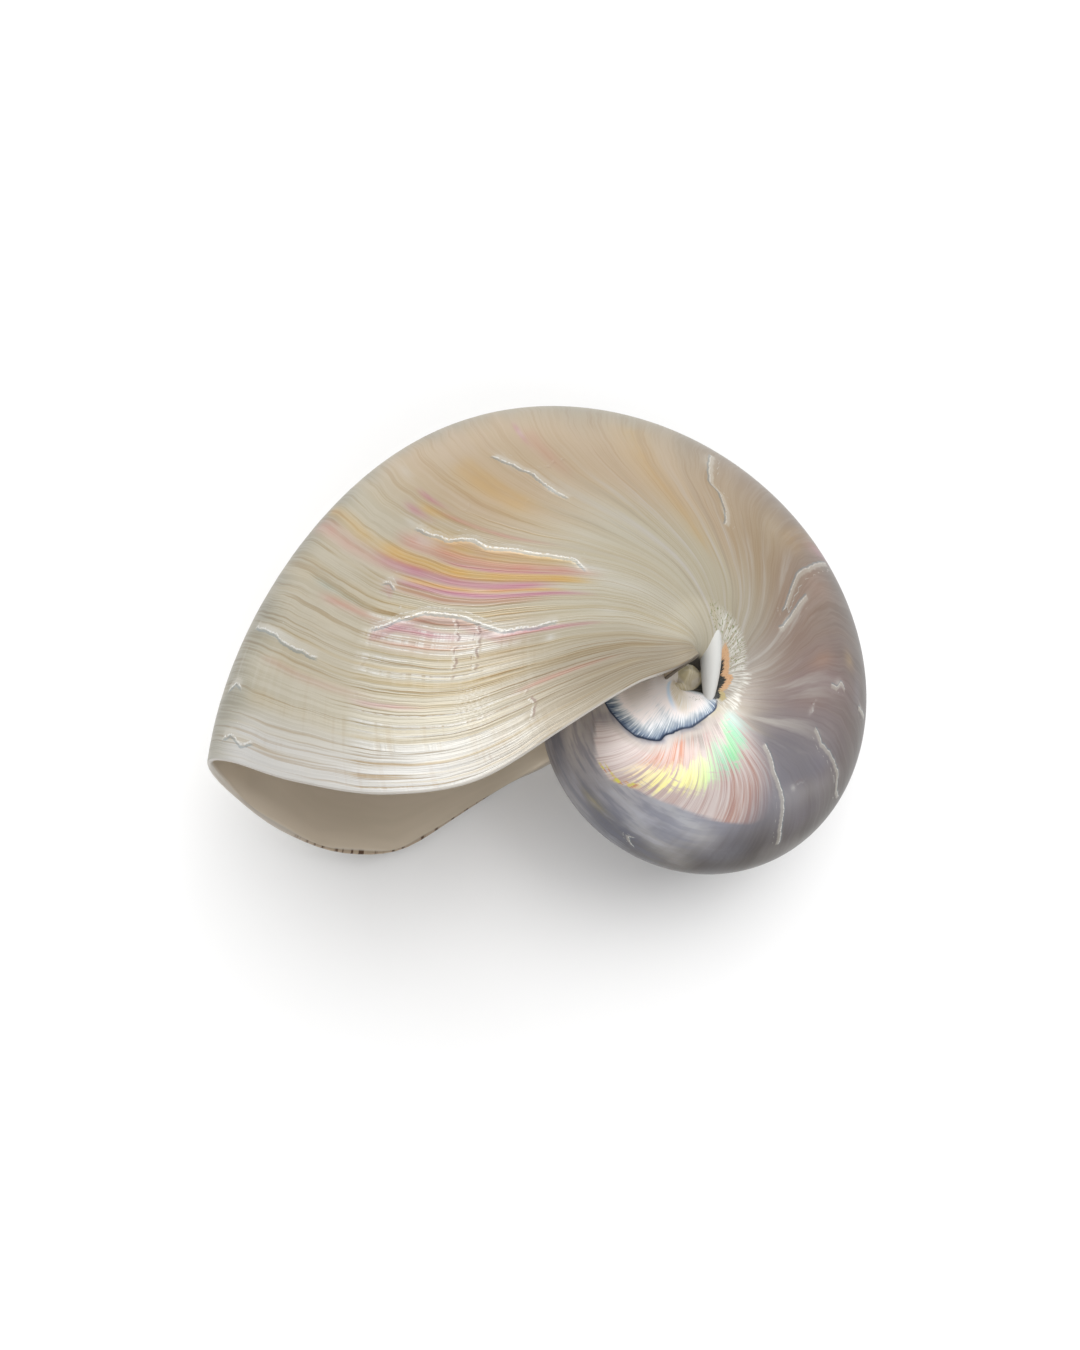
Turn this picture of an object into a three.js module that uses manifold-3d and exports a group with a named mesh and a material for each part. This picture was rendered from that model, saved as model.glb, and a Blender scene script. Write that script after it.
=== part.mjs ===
// A pearl nautilus shell lying on its flank, in millimetres, +Z up.
// The shell grew as one piece, so it is one solid: a thin coiled wall, the open living
// chamber with its mouth, the dished septum that closes the chamber's inner end, and the
// gas space behind it, which the siphuncle's small hole opens into the chamber.
import * as THREE from 'three';
import { mergeVertices } from 'three/addons/utils/BufferGeometryUtils.js';
import Module from 'manifold-3d';

const wasm = await Module();
wasm.setup();
const rad = THREE.MathUtils.degToRad;

// Coil. A turn is an angle, 0 at the mouth's keel and negative going back into the coil.
const MOUTH_RADIUS = 105;          // axis of the coil to the keel at the mouth
const GROWTH = 0.1992;             // natural log of the radius gained per radian
const GROWTH_DRIFT = 0.0016;       // how growth changes along the coil
const FLATTENING = -0.0373;        // the last stretch of keel runs a little flat
const FLAT_AT = rad(-28);
const FLAT_SPREAD = rad(29);
const STEPS_PER_WHORL = 60;
const STEP = (2 * Math.PI) / STEPS_PER_WHORL;

// Whorl section, as shares of the radius at that turn. Height 0 is the shell's middle plane.
const HALF_WIDTH = 0.381;
const WIDEST_AT = 0.321;
const KEEL_ROUNDNESS = 2;          // 2 is an ellipse, more is squarer
const NAVEL_RADIUS = 0.048;
const NAVEL_HEIGHT = 0.233;
const FLANK_ROUNDNESS = 2.23;
const HALF_PARTS = 13;             // facets from the keel to the navel

// How far the lip runs ahead of the mouth's turn, in degrees, from the keel to the navel.
const LIP_STATIONS = [0, 0.12, 0.25, 0.38, 0.5, 0.62, 0.75, 0.88, 1];
const LIP_AHEAD = [0.5, 2.4, 7.8, 13.8, 17.5, 16.3, 13.1, 8.9, -22];
const WHORL_JOINS = [-5, -30, -66, -96];  // steps between the filled stretches, mouth first
const MOUTH_PARTS = 6;             // rings from the first join to the lip

// Walls, septum and hollows.
const WALL = 1.5;
const CALLUS = 0.4;                // nacre laid over the early whorl inside the mouth
const SEPTUM_AT = rad(-132);
const SEPTUM_THICKNESS = rad(4.5);
const SEPTUM_DISH = rad(13);
const SIPHUNCLE_RADIUS = 1.7;
const SIPHUNCLE_AT = 0.62;         // share of the radius
const SIPHUNCLE_PAST = rad(5);     // how far the hole runs past the septum on either side
const HOLLOW_END = rad(-475);
const CHAMBER_PAST_LIP = rad(9);   // the chamber's cut runs on in front of the lip
const CHAMBER_HORN = 0.95;         // share of the lip that the cut's two horns follow
const CHAMBER_PARTS = [16, 24, 4]; // facets along the coil, round the section and in depth
const GAS_PARTS = [20, 12, 4];

// Navel: a low plug in the well of the coil and the folded end of the lip across it.
const PLUG_RADIUS = 5.6;
const PLUG_HEIGHT = 12.2;
const PLUG_RIM = 1.2;              // how far its edge stands above its middle
const PLUG_SIDES = 14;
const FOLD_FROM = new THREE.Vector3(4.4, 5.6, 21.6);
const FOLD_TO = new THREE.Vector3(1.2, -6.2, 14.6);
const FOLD_WIDTH = 5;
const FOLD_DEPTH = 6;
const FOLD_SUNK = 2;               // below the line between its ends

// Scars where the growing lip was chipped and mended. Each is a low ridge through points of
// growth angle in degrees (0 at the lip) and share of the way from the keel to the navel.
const SCAR_HEIGHT = 0.5;
const SCAR_WIDTH = 2.2;
const SCAR_SUNK = 0.5;
const SCAR_PARTS = 3;              // facets between two points
const NEAR_SCARS = [
  [[-15.5, 0.14], [-15, 0.2], [-16, 0.27]],
  [[-25, 0.37], [-28, 0.42], [-28.5, 0.48], [-26, 0.54], [-24.5, 0.62], [-24, 0.68]],
  [[-43, 0.35], [-45, 0.4], [-48, 0.48], [-49.5, 0.55], [-51, 0.61], [-47, 0.71]],
  [[-67, 0.37], [-69, 0.43], [-69.5, 0.49]],
  [[-122, 0.33], [-123, 0.4], [-127.5, 0.5], [-128, 0.56], [-125, 0.6]],
  [[-161.5, 0.36], [-164, 0.44], [-167, 0.55], [-171, 0.62], [-177, 0.69]],
  [[-204, 0.38], [-207, 0.43], [-208.5, 0.48]],
  [[-227, 0.2], [-228.5, 0.28], [-231, 0.36], [-231, 0.48]],
  [[-255, 0.17], [-257.5, 0.28], [-260, 0.44], [-259, 0.52], [-255.5, 0.61]],
];
const FAR_SCARS = [
  [[-22, 0.3], [-24, 0.38], [-24.5, 0.46], [-22, 0.54]],
  [[-58, 0.28], [-60, 0.36], [-63, 0.46], [-62, 0.56]],
  [[-141, 0.3], [-144, 0.4], [-146, 0.5], [-144, 0.6]],
  [[-214, 0.24], [-217, 0.36], [-218, 0.46]],
];

// How the shell lies: the up direction, as the lean of the coil's axis and where it leans to.
const LEAN = rad(15);
const LEAN_TOWARDS = rad(-142.5);
const TURN_ON_TABLE = rad(12);
const CONTACT_DEPTH = 0.15;        // the polished flank's worn flats where it rests

function radius(turn) {
  const bump = (t) => Math.exp(-(((t - FLAT_AT) / FLAT_SPREAD) ** 2));
  return MOUTH_RADIUS * Math.exp(
    GROWTH * turn + GROWTH_DRIFT * turn * turn + FLATTENING * (bump(turn) - bump(0)));
}

// Half section from the keel to the navel as closely spaced points, with the length along it.
function traceHalfSection(samples = 80) {
  const points = [];
  for (let i = 0; i <= samples; i++) {
    const a = (Math.PI / 2) * (i / samples);
    const power = 2 / KEEL_ROUNDNESS;
    points.push(new THREE.Vector2(
      WIDEST_AT + (1 - WIDEST_AT) * Math.cos(a) ** power, HALF_WIDTH * Math.sin(a) ** power));
  }
  for (let i = 1; i <= samples; i++) {
    const a = (Math.PI / 2) * (i / samples);
    const power = 2 / FLANK_ROUNDNESS;
    points.push(new THREE.Vector2(
      WIDEST_AT - (WIDEST_AT - NAVEL_RADIUS) * Math.sin(a) ** power,
      NAVEL_HEIGHT + (HALF_WIDTH - NAVEL_HEIGHT) * Math.max(Math.cos(a), 0) ** power));
  }
  const along = [0];
  for (let i = 1; i < points.length; i++) {
    along.push(along[i - 1] + points[i].distanceTo(points[i - 1]));
  }
  return { points, along };
}
const TRACE = traceHalfSection();

// Section point at a share of the way from the keel (0) to the near (1) or far (-1) navel.
function sectionAt(share) {
  const want = Math.abs(share) * TRACE.along[TRACE.along.length - 1];
  let i = 0;
  while (i < TRACE.along.length - 2 && TRACE.along[i + 1] < want) i++;
  const t = (want - TRACE.along[i]) / (TRACE.along[i + 1] - TRACE.along[i]);
  const p = TRACE.points[i].clone().lerp(TRACE.points[i + 1], t);
  return { out: p.x, up: share < 0 ? -p.y : p.y };
}

// Millimetres outwards and upwards of a section point at a turn, moved out square to the skin.
function skinPoint(turn, share, lift = 0) {
  const size = radius(turn);
  const p = sectionAt(share);
  const nudge = 0.01;
  const before = sectionAt(Math.max(share - nudge, -1));
  const after = sectionAt(Math.min(share + nudge, 1));
  const along = new THREE.Vector2(after.out - before.out, after.up - before.up).normalize();
  return { out: size * p.out + along.y * lift, up: size * p.up - along.x * lift };
}

// A point in the turning plane put into space. The mouth's keel points to -X.
function place(turn, { out, up }) {
  const angle = Math.PI + turn;
  return new THREE.Vector3(out * Math.cos(angle), out * Math.sin(angle), up);
}

// Smooth curve through the lip's stations.
function lipAhead(share) {
  const last = LIP_STATIONS.length - 1;
  const slope = (k) => {
    if (k === 0) return 0;
    const next = Math.min(k + 1, last);
    return (LIP_AHEAD[next] - LIP_AHEAD[k - 1]) / (LIP_STATIONS[next] - LIP_STATIONS[k - 1]);
  };
  const x = Math.abs(share);
  let i = 0;
  while (i < last - 1 && LIP_STATIONS[i + 1] < x) i++;
  const span = LIP_STATIONS[i + 1] - LIP_STATIONS[i];
  const t = (x - LIP_STATIONS[i]) / span;
  return rad((2 * t ** 3 - 3 * t ** 2 + 1) * LIP_AHEAD[i]
    + (t ** 3 - 2 * t ** 2 + t) * span * slope(i)
    + (3 * t ** 2 - 2 * t ** 3) * LIP_AHEAD[i + 1]
    + (t ** 3 - t ** 2) * span * slope(i + 1));
}

// A closed skin over rings of equal length, each end drawn to one point.
function closedSkin(rings, startPoint, endPoint) {
  const count = rings[0].length;
  const vertices = [startPoint, ...rings.flat(), endPoint];
  const at = (ring, i) => 1 + ring * count + (i % count);
  const index = [];
  for (let i = 0; i < count; i++) {
    index.push(0, at(0, i), at(0, i + 1));
    index.push(vertices.length - 1, at(rings.length - 1, i + 1), at(rings.length - 1, i));
    for (let ring = 0; ring + 1 < rings.length; ring++) {
      index.push(at(ring, i), at(ring + 1, i), at(ring + 1, i + 1));
      index.push(at(ring, i), at(ring + 1, i + 1), at(ring, i + 1));
    }
  }
  return new THREE.BufferGeometry().setFromPoints(vertices).setIndex(index);
}

// A closed skin over the six sides of a bent block, whose points are pointAt(i, j, k).
function blockSkin(sizes, pointAt) {
  const vertices = [];
  const index = [];
  for (let axis = 0; axis < 3; axis++) {
    const [p, q] = [(axis + 1) % 3, (axis + 2) % 3];
    for (const end of [0, sizes[axis]]) {
      const start = vertices.length;
      for (let a = 0; a <= sizes[p]; a++) {
        for (let b = 0; b <= sizes[q]; b++) {
          const cell = [0, 0, 0];
          cell[axis] = end;
          cell[p] = a;
          cell[q] = b;
          vertices.push(pointAt(...cell));
        }
      }
      const row = sizes[q] + 1;
      for (let a = 0; a < sizes[p]; a++) {
        for (let b = 0; b < sizes[q]; b++) {
          const corner = start + a * row + b;
          const quad = [corner, corner + row, corner + row + 1, corner + 1];
          if (end === 0) quad.reverse();
          index.push(quad[0], quad[1], quad[2], quad[0], quad[2], quad[3]);
        }
      }
    }
  }
  return new THREE.BufferGeometry().setFromPoints(vertices).setIndex(index);
}

function toSolid(geometry) {
  const bare = geometry.clone();
  bare.deleteAttribute('normal');
  bare.deleteAttribute('uv');
  const merged = mergeVertices(bare, 1e-4);
  const make = (triVerts) => new wasm.Manifold(new wasm.Mesh({
    numProp: 3,
    vertProperties: new Float32Array(merged.attributes.position.array),
    triVerts,
  }));
  const corners = new Uint32Array(merged.index.array);
  const solid = make(corners);
  return solid.volume() > 0 ? solid : make(corners.slice().reverse());
}

function toGeometry(solid) {
  const mesh = solid.getMesh();
  const geometry = new THREE.BufferGeometry();
  geometry.setAttribute('position', new THREE.BufferAttribute(mesh.vertProperties, 3));
  return geometry.setIndex(new THREE.BufferAttribute(mesh.triVerts, 1));
}

// Shares from the far navel round the keel to the near navel.
function sharesRound(halfParts, reach = 1) {
  const shares = [];
  for (let i = -halfParts; i <= halfParts; i++) shares.push((reach * i) / halfParts);
  return shares;
}

function filledRing(turn) {
  return sharesRound(HALF_PARTS).map((share) => place(turn, skinPoint(turn, share)));
}

function corePoint(turn) {
  return place(turn, { out: radius(turn) / 2, up: 0 });
}

// A filled stretch of coil between two whole steps.
function filledWhorl(fromStep, toStep) {
  const rings = [];
  for (let n = fromStep; n <= toStep; n++) rings.push(filledRing(n * STEP));
  return toSolid(closedSkin(rings, corePoint(fromStep * STEP), corePoint(toStep * STEP)));
}

// The last stretch of coil, whose front edge is the lip.
function filledMouth(fromStep, parts) {
  const from = fromStep * STEP;
  const rings = [filledRing(from)];
  for (let k = 1; k <= parts; k++) {
    rings.push(sharesRound(HALF_PARTS).map((share) => {
      const turn = from + (lipAhead(share) - from) * (k / parts);
      return place(turn, skinPoint(turn, share));
    }));
  }
  return toSolid(closedSkin(rings, corePoint(from), corePoint(0)));
}

// The share nearest the navel at which the lifted skin still stands clear of the well.
function clearShare(turn, lift, clearance) {
  let low = 0;
  let high = 1;
  while (high - low > 1e-4) {
    const middle = (low + high) / 2;
    if (skinPoint(turn, middle, lift).out > clearance) low = middle;
    else high = middle;
  }
  return low;
}

// Point of the hollow's crescent section: side runs from the far horn (-1) to the near one (1),
// depth from the current whorl's wall (0) to the early whorl inside it (1).
function crescentPoint(turn, side, depth) {
  const early = turn - 2 * Math.PI;
  const clearance = NAVEL_RADIUS * radius(turn) + WALL;
  const roof = skinPoint(turn, side * clearShare(turn, -WALL, clearance), -WALL);
  const floor = skinPoint(early, side * clearShare(early, CALLUS, clearance), CALLUS);
  return {
    out: roof.out + (floor.out - roof.out) * depth,
    up: roof.up + (floor.up - roof.up) * depth,
  };
}

// How far back a dished septum lies at a point of the crescent.
function dishAt(side, depth) {
  return SEPTUM_DISH * 4 * depth * (1 - depth) * (1 - side ** 4);
}

// The living chamber, from the septum to just past the lip.
function livingChamber() {
  const [along, round, deep] = CHAMBER_PARTS;
  return toSolid(blockSkin(CHAMBER_PARTS, (i, j, k) => {
    const side = (2 * j) / round - 1;
    const depth = k / deep;
    const reach = i / along;
    const front = lipAhead(side * CHAMBER_HORN) * (1 - depth) + CHAMBER_PAST_LIP;
    const back = SEPTUM_AT - dishAt(side, depth) * (1 - reach) ** 3;
    const turn = back + (front - SEPTUM_AT) * reach;
    return place(turn, crescentPoint(turn, side, depth));
  }));
}

// The gas space behind the septum, wound back towards the heart of the coil.
function gasSpace() {
  const [along, round, deep] = GAS_PARTS;
  return toSolid(blockSkin(GAS_PARTS, (i, j, k) => {
    const side = (2 * j) / round - 1;
    const depth = k / deep;
    const reach = i / along;
    const front = SEPTUM_AT - SEPTUM_THICKNESS;
    const turn = front + (HOLLOW_END - front) * reach - dishAt(side, depth) * (1 - reach) ** 3;
    return place(turn, crescentPoint(turn, side, depth));
  }));
}

// The hole in the middle of the septum.
function siphuncle() {
  const turn = SEPTUM_AT - SEPTUM_DISH;
  const out = SIPHUNCLE_AT * radius(turn);
  const path = new THREE.LineCurve3(
    place(turn + SIPHUNCLE_PAST, { out, up: 0 }),
    place(turn - SEPTUM_THICKNESS - SIPHUNCLE_PAST, { out, up: 0 }));
  const hole = new THREE.Shape().absarc(0, 0, SIPHUNCLE_RADIUS, 0, 2 * Math.PI);
  return toSolid(new THREE.ExtrudeGeometry(hole, {
    extrudePath: path, steps: 1, curveSegments: 6, bevelEnabled: false }));
}

// The plug that fills the well of the coil, the same on both flanks.
function navelPlug() {
  const profile = [
    new THREE.Vector2(0, -PLUG_HEIGHT),
    new THREE.Vector2(PLUG_RADIUS, -PLUG_HEIGHT - PLUG_RIM),
    new THREE.Vector2(PLUG_RADIUS, PLUG_HEIGHT + PLUG_RIM),
    new THREE.Vector2(0, PLUG_HEIGHT),
  ];
  return toSolid(new THREE.LatheGeometry(profile, PLUG_SIDES).rotateX(Math.PI / 2));
}

// The folded end of the lip, a smooth tongue across the well.
function navelFold(side) {
  const ball = new THREE.SphereGeometry(0.5, 12, 8);
  const along = FOLD_TO.clone().sub(FOLD_FROM);
  ball.scale(FOLD_WIDTH, along.length() + FOLD_WIDTH / 2, FOLD_DEPTH);
  ball.applyQuaternion(new THREE.Quaternion().setFromUnitVectors(
    new THREE.Vector3(0, 1, 0), along.clone().normalize()));
  const middle = FOLD_FROM.clone().add(FOLD_TO).multiplyScalar(0.5);
  ball.translate(middle.x, middle.y, middle.z - FOLD_SUNK);
  if (side < 0) ball.scale(1, 1, -1);
  return toSolid(ball);
}

// A mended chip: a ridge of three-cornered section laid along the flank.
function scar(points, side) {
  const curve = new THREE.CatmullRomCurve3(points.map(([g, s]) => new THREE.Vector3(g, s, 0)));
  const parts = SCAR_PARTS * (points.length - 1);
  const spots = curve.getPoints(parts);
  const corner = (n, across, lift) => {
    const { x: growthAngle, y: share } = spots[n];
    const turn = rad(growthAngle) + lipAhead(share);
    const p = skinPoint(turn, side * share, lift);
    return place(turn + across / p.out, p);
  };
  const rings = [];
  for (let n = 1; n < parts; n++) {
    const fullness = Math.min(1, Math.min(n, parts - n) / 2);
    rings.push([
      corner(n, -SCAR_WIDTH / 2, -SCAR_SUNK),
      corner(n, 0, SCAR_HEIGHT * fullness),
      corner(n, SCAR_WIDTH / 2, -SCAR_SUNK),
    ]);
  }
  return toSolid(closedSkin(rings, corner(0, 0, -SCAR_SUNK), corner(parts, 0, -SCAR_SUNK)));
}

function shellSolid() {
  let shell = filledMouth(WHORL_JOINS[0], MOUTH_PARTS);
  for (let n = 1; n < WHORL_JOINS.length; n++) {
    shell = shell.add(filledWhorl(WHORL_JOINS[n], WHORL_JOINS[n - 1]));
  }
  shell = shell.add(navelPlug()).add(navelFold(1)).add(navelFold(-1));
  NEAR_SCARS.forEach((points) => { shell = shell.add(scar(points, 1)); });
  FAR_SCARS.forEach((points) => { shell = shell.add(scar(points, -1)); });
  return shell.subtract(livingChamber()).subtract(gasSpace()).subtract(siphuncle());
}

// Lays the shell on its flank, its lowest spots trimmed level, over the middle of its box.
function laidDown(solid) {
  const axis = new THREE.Vector3(-Math.sin(LEAN_TOWARDS), Math.cos(LEAN_TOWARDS), 0);
  const lie = new THREE.Matrix4().makeRotationZ(TURN_ON_TABLE)
    .multiply(new THREE.Matrix4().makeRotationAxis(axis, -LEAN));
  const geometry = toGeometry(solid).applyMatrix4(lie);
  geometry.computeBoundingBox();
  const { min, max } = geometry.boundingBox;
  geometry.translate(-(min.x + max.x) / 2, -(min.y + max.y) / 2, -min.z - CONTACT_DEPTH);
  const size = 4 * MOUTH_RADIUS;
  const table = new THREE.BoxGeometry(size, size, size).translate(0, 0, -size / 2);
  return toGeometry(toSolid(geometry).subtract(toSolid(table)));
}

const nacre = new THREE.MeshStandardMaterial({ color: 0xd8c9b4, roughness: 0.3, metalness: 0.1 });
const shell = new THREE.Mesh(laidDown(shellSolid()), nacre);
shell.name = 'nautilus_shell';

const nautilus = new THREE.Group();
nautilus.add(shell);
export default nautilus;
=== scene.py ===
# A polished pearl nautilus shell lying on its flank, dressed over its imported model.
# Lengths are in metres. The skin is a function of two parameters: the growth angle, 0 along the
# lip and negative back into the coil, and the share of the way from the keel (0) to the navel of
# the near flank (1) or the far flank (-1). Every growth line has one growth angle.
from functools import partialmethod

import bpy
import numpy as np
from mathutils import Matrix, Vector


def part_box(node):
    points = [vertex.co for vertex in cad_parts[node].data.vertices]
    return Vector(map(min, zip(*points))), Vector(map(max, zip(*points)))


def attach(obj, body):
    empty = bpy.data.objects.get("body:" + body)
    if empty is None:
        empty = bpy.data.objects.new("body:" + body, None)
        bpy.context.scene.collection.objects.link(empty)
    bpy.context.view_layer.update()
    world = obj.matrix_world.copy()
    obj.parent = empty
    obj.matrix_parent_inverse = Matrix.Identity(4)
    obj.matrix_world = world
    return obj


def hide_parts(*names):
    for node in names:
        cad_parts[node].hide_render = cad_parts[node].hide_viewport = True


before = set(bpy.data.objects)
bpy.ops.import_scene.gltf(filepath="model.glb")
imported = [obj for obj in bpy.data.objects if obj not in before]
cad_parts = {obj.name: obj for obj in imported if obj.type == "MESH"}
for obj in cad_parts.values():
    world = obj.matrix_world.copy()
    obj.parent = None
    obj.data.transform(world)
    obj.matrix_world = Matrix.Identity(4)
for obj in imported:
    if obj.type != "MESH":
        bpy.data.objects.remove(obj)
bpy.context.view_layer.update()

SOLID_LOW, SOLID_HIGH = (np.array(corner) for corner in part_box("nautilus_shell"))
rad = np.radians

# Coil, the same driving sizes as the solid's.
MOUTH_RADIUS = 0.105
GROWTH = 0.1992
GROWTH_DRIFT = 0.0016
FLATTENING = -0.0373
FLAT_AT = rad(-28)
FLAT_SPREAD = rad(29)
WHORL = 360  # degrees

# Whorl section, as shares of the radius.
HALF_WIDTH = 0.381
WIDEST_AT = 0.321
NAVEL_RADIUS = 0.048
NAVEL_HEIGHT = 0.233
FLANK_ROUNDNESS = 2.23
FOOT_HEIGHT = 0.092  # the wall goes down to here and stands in the early whorl's flank
SECTION_LENGTH = 1.18  # from the keel to the navel

# The lip, in degrees ahead of the mouth's turn from the keel to the navel.
LIP_SHARES = [0, .12, .25, .38, .5, .62, .75, .88, 1]
LIP_AHEAD = [.5, 2.4, 7.8, 13.8, 17.5, 16.3, 13.1, 8.9, -22]

# Walls.
WALL = 0.0015
LIP_WALL = 0.0011
LIP_TAPER = 7  # degrees of growth over which the wall thins to the lip
SEPTUM_AT = rad(-132)
SEPTUM_THICKNESS = 0.0012
SEPTUM_DISH = rad(13)
SIPHUNCLE_RADIUS = 0.0017
FLOOR_REACH = 0.9  # share of the early whorl that the septum's floor edge reaches
SIDE_REACH = 0.985  # share of the way down the wall that its other edge reaches
CRESCENT_DEPTH = 0.7  # of the whorl's section between the two, as a share of the radius
SEPTUM_RINGS = 22  # on each face
SEPTUM_SPOKES = 96
DEEPEST = -522  # growth angle of the inner end, hidden behind the septum

# How the shell lies, and the worn flats that it rests on.
LEAN = rad(15)
LEAN_TOWARDS = rad(-142.5)
TURN_ON_TABLE = rad(12)
CONTACT_DEPTH = 0.00015

# Rows of the skin: the growth angles, in degrees, where the spacing changes, and the spacings.
ROW_LIMITS = [DEEPEST, -375, -250, -150, -75, -34, 0]
ROW_SPACINGS = [3.5, .85, 1.1, .8, .52, .36]
NEAR_COLUMNS = 114
FAR_COLUMNS = 42
INNER_STEP = 6  # the plain inside has one row and column for this many of the skin's
LIP_PARTS = 4

# How far the growth lines lag behind the present lip's shape, in degrees, at each share.
LAG_SHARES = [0, .28, .42, .55, .65, .72, .78, .82, .9, 1]
LAG_ANGLES = [0, 0, 2.4, 6.4, 11.2, 16.3, 22.3, 27.6, 44, 75]
LAG_GROWN = 45  # degrees back from the lip at which a small lag is whole
LAG_SPREAD = 1.6  # further degrees for each degree of lag

# Mended chips: points of growth angle and share along each broken edge, height and drop in mm.
NEAR_SCARS = [
    ([(-15.4, .085), (-15.8, .13), (-15.3, .18), (-15.1, .272)], .22, .12),
    ([(-7, .066), (-8.2, .09), (-8.4, .115), (-7.4, .126)], .22, .05),
    ([(-1.6, .088), (-2.9, .12), (-1.8, .15), (-2.6, .18)], .16, .03),
    ([(-21.6, .335), (-23.9, .367), (-27.6, .415), (-28.8, .45), (-29.1, .485), (-28, .51),
      (-25.8, .55), (-26.1, .6), (-27.8, .644)], .32, .3),
    ([(-29.4, .325), (-30.6, .345), (-29.6, .365)], .26, .06),
    ([(-41.4, .325), (-43.3, .4), (-46.6, .444), (-46.3, .472), (-48.6, .517), (-49, .544),
      (-50.2, .585), (-51.7, .622), (-48.6, .66)], .32, .3),
    ([(-63.5, .325), (-65.6, .36), (-67.8, .405), (-69.3, .43), (-70.4, .49), (-71.5, .53)], .26, .12),
    ([(-119, .28), (-121, .39), (-122.4, .456), (-126.2, .478), (-128.3, .533), (-128, .567),
      (-126, .595)], .24, .1),
    ([(-158.9, .244), (-162, .356), (-163.6, .422), (-164.4, .5), (-166.7, .578), (-171, .656)], .24, .1),
    ([(-172.6, .5), (-173.5, .578), (-175.5, .633), (-176.7, .667), (-175.6, .694)], .28, .08),
    ([(-189, .011), (-195.5, .067)], .2, .04),
    ([(-201.7, .183), (-203, .23), (-204.4, .278)], .24, .06),
    ([(-206, .375), (-204.6, .41), (-208, .43), (-208.6, .47)], .26, .06),
    ([(-226, .144), (-228.9, .2), (-227.8, .267), (-230, .367), (-231.7, .422), (-229.4, .49)], .24, .1),
    ([(-254.4, .16), (-256.7, .244), (-257.8, .367), (-259.4, .444), (-260, .489), (-257.8, .533),
      (-253.9, .611)], .28, .1),
    ([(-299, .052), (-303, .075), (-305, .1), (-303, .12)], .34, .04),
]
FAR_SCARS = [
    ([(-22, .3), (-24, .38), (-24.5, .46), (-22, .54)], .34, .3),
    ([(-58, .28), (-60, .36), (-63, .46), (-62, .56)], .34, .2),
    ([(-141, .3), (-144, .4), (-146, .5), (-144, .6)], .3, .1),
    ([(-214, .24), (-217, .36), (-218, .46)], .3, .1),
]
MARK_REACH = 3.6  # distance, in mm, at which a scar or crack has left no trace
CRACK_FULL = 0.12  # a crack of this depth, in mm, has its colour in full

# Cracks and crinkles that cross the growth lines: share, first and last growth angle, depth in mm.
CRINKLES = [
    (.589, -11.4, -1.8, .16), (.515, -4.5, 0, .05), (.478, -28.5, -16, .12), (.511, -28, -17, .12),
    (.34, -31, -1, .05), (.478, -69, -60, .04), (.428, -82, -71, .05), (.322, -90, -80, .03),
    (.391, -53.5, -50, .05), (.531, -226, -216, .08), (.383, -253, -244, .06), (.667, -174, -166, .06),
]

# Crumbled patch near the lip: growth angle, share, half lengths along both.
CRUMBLED = (-11, .507, 4.5, .032)

# Colours as seen in the photograph's light, 0 to 255.
SILVER, CREAM, BEIGE, PEACH = (228, 226, 222), (208, 200, 178), (198, 188, 164), (206, 184, 156)
TAN, CLAY, MAUVE, DOVE = (178, 156, 128), (164, 142, 126), (158, 138, 134), (146, 140, 144)
PEARL, OLIVE, UMBER, ASH = (164, 167, 182), (148, 142, 120), (108, 90, 76), (84, 77, 72)
SLATE, CHALK, HONEY, FAWN = (110, 110, 118), (226, 224, 218), (202, 180, 138), (174, 161, 138)
IVORY, SHADE, DUSK, TEAL = (208, 200, 196), (178, 168, 158), (112, 112, 124), (136, 172, 178)
LIGHT_LINE, MEND_WHITE = (228, 222, 208), (246, 244, 238)
ROSE, MAGENTA, GOLD = (212, 138, 126), (198, 104, 146), (226, 172, 84)

# Pale smears and chips: growth angle, share, half lengths along both, strength.
BLOOMS = [
    (-40.5, .36, 1.6, .03, .7), (-50.5, .655, 1.8, .04, .7), (-49, .72, 2.2, .07, .5),
    (-26.5, .545, 1.1, .04, .5), (-22.6, .628, .8, .008, 1), (-35.3, .495, .25, .016, .7),
    (-33.5, .72, 1.2, .02, .5), (-48.3, .21, .6, .03, .45), (-66, .36, 1, .03, .6),
    (-69.8, .485, .8, .012, .7), (-76, .62, 5, .09, .3), (-62, .6, 2.5, .05, .3),
    (-119.6, .34, 1.6, .05, .6), (-127.6, .55, .6, .03, .8), (-206, .42, 1.6, .02, .8),
    (-176, .655, 1.2, .025, .8), (-203.2, .235, .7, .03, .6), (-252.6, .383, 1, .012, .8),
    (-223.5, .531, 2.2, .007, .8), (-4, .45, 2.2, .12, .4), (-1.2, .5, 1.3, .16, .5),
    (-30, .342, .8, .02, .6), (-72.2, .3, .5, .02, .5), (-15.9, .165, .6, .06, .9),
    (-8.4, .1, .7, .025, .6), (-2.6, .13, .6, .04, .5), (-42, .33, 1, .03, .7),
    (-2.2, .42, 1.2, .07, .7), (-2.4, .56, 1, .05, .6),
]

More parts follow.
